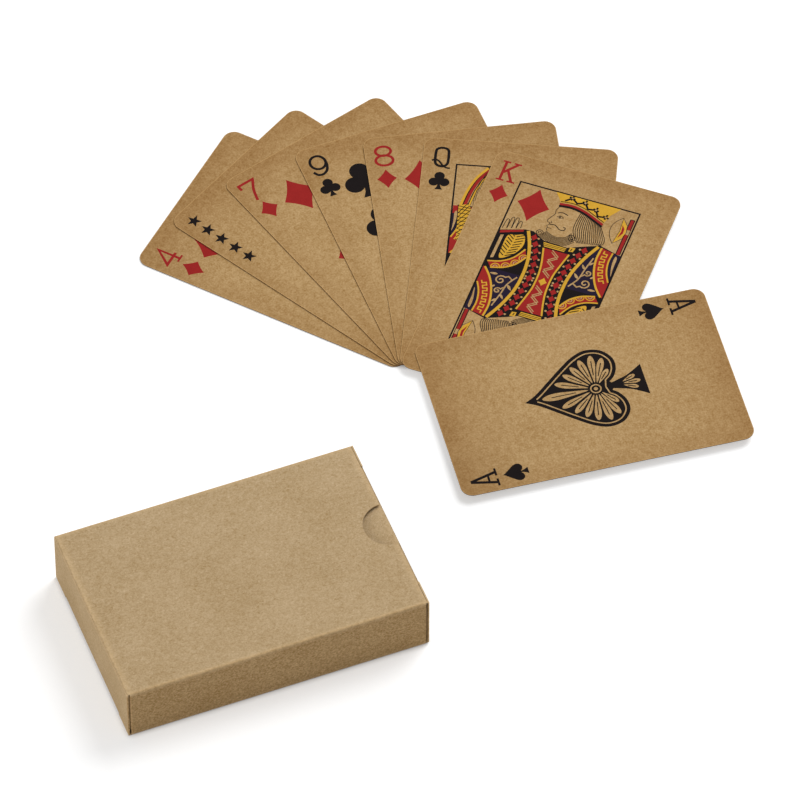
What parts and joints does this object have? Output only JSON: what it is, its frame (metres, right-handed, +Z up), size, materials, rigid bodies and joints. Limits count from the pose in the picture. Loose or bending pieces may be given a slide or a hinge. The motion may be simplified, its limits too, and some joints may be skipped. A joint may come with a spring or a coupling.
{
  "type": "playing card deck",
  "caption": "Kraft playing card deck: closed tuck box with opening end lids, a fan of face-up cards that closes about one corner, and a loose ace lying across it.",
  "frame": {"origin": "centre of the closed box's base, on the surface that the deck lies on", "axes": "+X along the box towards the end with the thumb notch, +Y from the box towards the fan, +Z up"},
  "size_m": [0.2193, 0.1999, 0.0191],
  "materials": {
    "card_stock": "uncoated kraft card, matte",
    "box_board": "uncoated kraft board, matte",
    "red_ink": "matte print",
    "black_ink": "matte print",
    "yellow_ink": "matte print"
  },
  "bodies": {
    "sleeve": {"top_panel": "box_board", "bottom_panel": "box_board", "front_panel": "box_board", "back_panel": "box_board", "glue_flap": "box_board", "second_joker": "card_stock", "clubs_in_box": "card_stock", "diamonds_in_box": "card_stock", "hearts_in_box": "card_stock", "spades_in_box": "card_stock"},
    "left_lid": {"left_lid": "box_board"},
    "left_tuck_flap": {"left_tuck_flap": "box_board"},
    "left_front_dust_flap": {"left_front_dust_flap": "box_board"},
    "left_back_dust_flap": {"left_back_dust_flap": "box_board"},
    "right_lid": {"right_lid": "box_board"},
    "right_tuck_flap": {"right_tuck_flap": "box_board"},
    "right_front_dust_flap": {"right_front_dust_flap": "box_board"},
    "right_back_dust_flap": {"right_back_dust_flap": "box_board"},
    "fan_base": {"four_of_diamonds": "card_stock"},
    "joker_card": {"joker_card": "card_stock"},
    "seven_of_diamonds": {"seven_of_diamonds": "card_stock"},
    "nine_of_clubs": {"nine_of_clubs": "card_stock"},
    "eight_of_diamonds": {"eight_of_diamonds": "card_stock"},
    "queen_of_clubs": {"queen_of_clubs": "card_stock"},
    "king_of_diamonds": {"king_of_diamonds": "card_stock"},
    "ace_of_spades": {"ace_of_spades": "card_stock"}
  },
  "joints": [
    {"name": "left_lid_hinge", "type": "hinge", "parent": "sleeve", "child": "left_lid", "pos_m": [-0.0456, 0, 0.01907], "axis": [0, 1, 0], "range_deg": [0, 150]},
    {"name": "left_tuck_crease", "type": "hinge", "parent": "left_lid", "child": "left_tuck_flap", "pos_m": [-0.04515, 0, 0.00125], "axis": [0, 1, 0], "range_deg": [-53, 0]},
    {"name": "left_front_dust_crease", "type": "hinge", "parent": "sleeve", "child": "left_front_dust_flap", "pos_m": [-0.0449, -0.0305, 0.0095], "axis": [0, 0, 1], "range_deg": [0, 53]},
    {"name": "left_back_dust_crease", "type": "hinge", "parent": "sleeve", "child": "left_back_dust_flap", "pos_m": [-0.0449, 0.0305, 0.0095], "axis": [0, 0, -1], "range_deg": [0, 53]},
    {"name": "right_lid_hinge", "type": "hinge", "parent": "sleeve", "child": "right_lid", "pos_m": [0.0456, 0, 0], "axis": [0, 1, 0], "range_deg": [0, 90]},
    {"name": "right_tuck_crease", "type": "hinge", "parent": "right_lid", "child": "right_tuck_flap", "pos_m": [0.04515, 0, 0.01782], "axis": [0, 1, 0], "range_deg": [-32, 0]},
    {"name": "right_front_dust_crease", "type": "hinge", "parent": "sleeve", "child": "right_front_dust_flap", "pos_m": [0.0449, -0.0305, 0.0095], "axis": [0, 0, -1], "range_deg": [0, 32]},
    {"name": "right_back_dust_crease", "type": "hinge", "parent": "sleeve", "child": "right_back_dust_flap", "pos_m": [0.0449, 0.0305, 0.0095], "axis": [0, 0, 1], "range_deg": [0, 32]},
    {"name": "fan_lift", "type": "slide", "parent": "sleeve", "child": "fan_base", "axis": [0, 0, 1], "range_m": [0, 0.06]},
    {"name": "king_turn", "type": "hinge", "parent": "fan_base", "child": "king_of_diamonds", "pos_m": [0.0736, 0.0655, 0.002], "axis": [0, 0, 1], "range_deg": [0, 82]},
    {"name": "queen_turn", "type": "hinge", "parent": "fan_base", "child": "queen_of_clubs", "pos_m": [0.0736, 0.0655, 0.002], "axis": [0, 0, 1], "range_deg": [0, 68]},
    {"name": "eight_turn", "type": "hinge", "parent": "fan_base", "child": "eight_of_diamonds", "pos_m": [0.0736, 0.0655, 0.002], "axis": [0, 0, 1], "range_deg": [0, 55]},
    {"name": "nine_turn", "type": "hinge", "parent": "fan_base", "child": "nine_of_clubs", "pos_m": [0.0736, 0.0655, 0.002], "axis": [0, 0, 1], "range_deg": [0, 41]},
    {"name": "seven_turn", "type": "hinge", "parent": "fan_base", "child": "seven_of_diamonds", "pos_m": [0.0736, 0.0655, 0.002], "axis": [0, 0, 1], "range_deg": [0, 26]},
    {"name": "joker_turn", "type": "hinge", "parent": "fan_base", "child": "joker_card", "pos_m": [0.0736, 0.0655, 0.002], "axis": [0, 0, 1], "range_deg": [0, 12]},
    {"name": "ace_lift", "type": "slide", "parent": "fan_base", "child": "ace_of_spades", "axis": [0, 0, 1], "range_m": [0, 0.06]}
  ],
  "couplings": [
    {"joint": "left_tuck_crease", "follows": "left_lid_hinge", "ratio": -0.35},
    {"joint": "left_front_dust_crease", "follows": "left_lid_hinge", "ratio": 0.35},
    {"joint": "left_back_dust_crease", "follows": "left_lid_hinge", "ratio": 0.35},
    {"joint": "right_tuck_crease", "follows": "right_lid_hinge", "ratio": -0.35},
    {"joint": "right_front_dust_crease", "follows": "right_lid_hinge", "ratio": 0.35},
    {"joint": "right_back_dust_crease", "follows": "right_lid_hinge", "ratio": 0.35},
    {"joint": "queen_turn", "follows": "king_turn", "ratio": 0.82},
    {"joint": "eight_turn", "follows": "king_turn", "ratio": 0.67},
    {"joint": "nine_turn", "follows": "king_turn", "ratio": 0.5},
    {"joint": "seven_turn", "follows": "king_turn", "ratio": 0.31},
    {"joint": "joker_turn", "follows": "king_turn", "ratio": 0.14}
  ]
}
